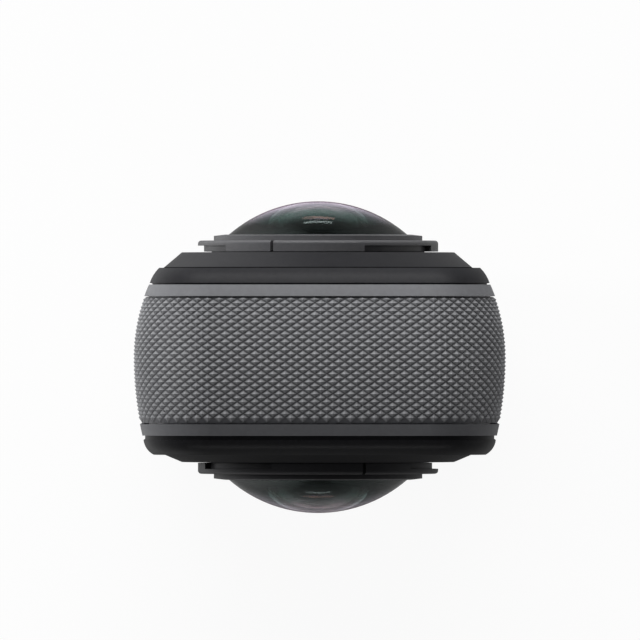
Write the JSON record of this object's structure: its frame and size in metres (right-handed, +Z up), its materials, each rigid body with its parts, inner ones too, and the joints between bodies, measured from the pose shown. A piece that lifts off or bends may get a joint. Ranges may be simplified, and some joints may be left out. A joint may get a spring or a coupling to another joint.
{
  "type": "360 degree camera",
  "caption": "Upright pocket 360 degree camera with opposed fisheye lenses, knurled grip band, screen, side battery with latched door, cable door and tripod thread in its base.",
  "frame": {"origin": "middle of the flat base, midway between the tops of the opposed domes", "axes": "+Z up the camera, +Y out of the front lens on the grip side, +X across the body towards the cable door; the screen faces -Y"},
  "size_m": [0.046, 0.0386, 0.1245],
  "materials": {
    "black_composite": "fine matt texture",
    "grip_rubber": "moulded diamond pattern, matt",
    "satin_trim": "satin",
    "front_shell": "satin",
    "rear_shell": "polished",
    "glass_cover": "polished, dark behind",
    "optical_glass": "polished, coated",
    "lens_black": "deep black, matt",
    "lens_ring": "satin anodised",
    "frame_alloy": "die cast",
    "steel": "brushed",
    "copper": "rolled",
    "contact_gold": "plated",
    "circuit_board": "solder mask",
    "flat_cable": "satin film",
    "sensor_chip": "window",
    "silicone": "smooth",
    "seal_rubber": "smooth",
    "battery_case": "fine matt texture",
    "key_cap": "satin",
    "light_pipe": "clear, frosted",
    "screen_panel": "dark, unlit",
    "latch_orange": "satin"
  },
  "bodies": {
    "camera": {"base_plate": "black_composite", "base_strikers": "steel", "battery_contacts": "contact_gold", "card_socket": "steel", "cover_screws": "steel", "display_flex": "flat_cable", "display_panel": "screen_panel", "front_cover": "front_shell", "front_field_element": "optical_glass", "front_grip_pad": "silicone", "front_inner_element": "optical_glass", "front_lens_barrel": "lens_black", "front_lens_seat": "front_shell", "front_seal_ring": "silicone", "front_sensor": "sensor_chip", "front_sensor_board": "circuit_board", "front_trim": "satin_trim", "heat_spreader": "copper", "knurled_band": "grip_rubber", "main_board": "circuit_board", "mic_guard": "steel", "microphones": "steel", "mid_frame": "frame_alloy", "rear_cover": "rear_shell", "rear_field_element": "optical_glass", "rear_inner_element": "optical_glass", "rear_lens_barrel": "lens_black", "rear_lens_seat": "rear_shell", "rear_seal_ring": "silicone", "rear_sensor": "sensor_chip", "rear_sensor_board": "circuit_board", "rear_trim": "satin_trim", "screen_glass": "glass_cover", "sensor_flexes": "flat_cable", "shield_can": "steel", "side_key_board": "circuit_board", "speaker": "lens_black", "status_light_pipes": "light_pipe", "tripod_insert": "steel", "usb_board": "circuit_board", "usb_door_pin": "steel", "usb_receptacle": "steel"},
    "front_lens_cover": {"front_dome": "optical_glass", "front_lens_bezel": "lens_ring", "front_lens_ring": "lens_ring"},
    "rear_lens_cover": {"rear_dome": "optical_glass", "rear_lens_bezel": "lens_ring", "rear_lens_ring": "lens_ring"},
    "battery": {"battery_pack": "battery_case", "battery_door": "grip_rubber", "battery_seal": "seal_rubber"},
    "upper_latch": {"upper_latch": "latch_orange"},
    "lower_latch": {"lower_latch": "latch_orange"},
    "memory_card": {"memory_card": "lens_black"},
    "usb_door": {"usb_door": "grip_rubber", "usb_door_seal": "silicone"},
    "shutter_button": {"shutter_button": "key_cap"},
    "view_button": {"view_button": "key_cap"},
    "power_button": {"power_button": "key_cap"},
    "quick_button": {"quick_button": "key_cap"}
  },
  "joints": [
    {"name": "front_lens_twist", "type": "hinge", "parent": "camera", "child": "front_lens_cover", "pos_m": [-0.0002, 0, 0.1015], "axis": [0, 1, 0], "range_deg": [0, 31]},
    {"name": "rear_lens_twist", "type": "hinge", "parent": "camera", "child": "rear_lens_cover", "pos_m": [-0.0002, 0, 0.1015], "axis": [0, -1, 0], "range_deg": [0, 31]},
    {"name": "battery_slide", "type": "slide", "parent": "camera", "child": "battery", "axis": [-1, 0, 0], "range_m": [0, 0.042]},
    {"name": "upper_latch_slide", "type": "slide", "parent": "battery", "child": "upper_latch", "axis": [0, 0, 1], "range_m": [0, 0.0018]},
    {"name": "lower_latch_slide", "type": "slide", "parent": "battery", "child": "lower_latch", "axis": [0, 0, -1], "range_m": [0, 0.0018]},
    {"name": "card_slide", "type": "slide", "parent": "camera", "child": "memory_card", "axis": [-1, 0, 0], "range_m": [0, 0.0024]},
    {"name": "usb_door_swing", "type": "hinge", "parent": "camera", "child": "usb_door", "pos_m": [0.0218, -0.00032, 0.07], "axis": [0, 1, 0], "range_deg": [0, 90]},
    {"name": "shutter_button_press", "type": "slide", "parent": "camera", "child": "shutter_button", "axis": [0, 1, 0], "range_m": [0, 0.0004], "stiffness_N_per_m": 1500, "springref_m": -0.0002},
    {"name": "view_button_press", "type": "slide", "parent": "camera", "child": "view_button", "axis": [0, 1, 0], "range_m": [0, 0.0004], "stiffness_N_per_m": 1500, "springref_m": -0.0002},
    {"name": "power_button_press", "type": "slide", "parent": "camera", "child": "power_button", "axis": [-1, 0, 0], "range_m": [0, 0.0004], "stiffness_N_per_m": 1500, "springref_m": -0.0002},
    {"name": "quick_button_press", "type": "slide", "parent": "camera", "child": "quick_button", "axis": [-1, 0, 0], "range_m": [0, 0.0004], "stiffness_N_per_m": 1500, "springref_m": -0.0002}
  ]
}
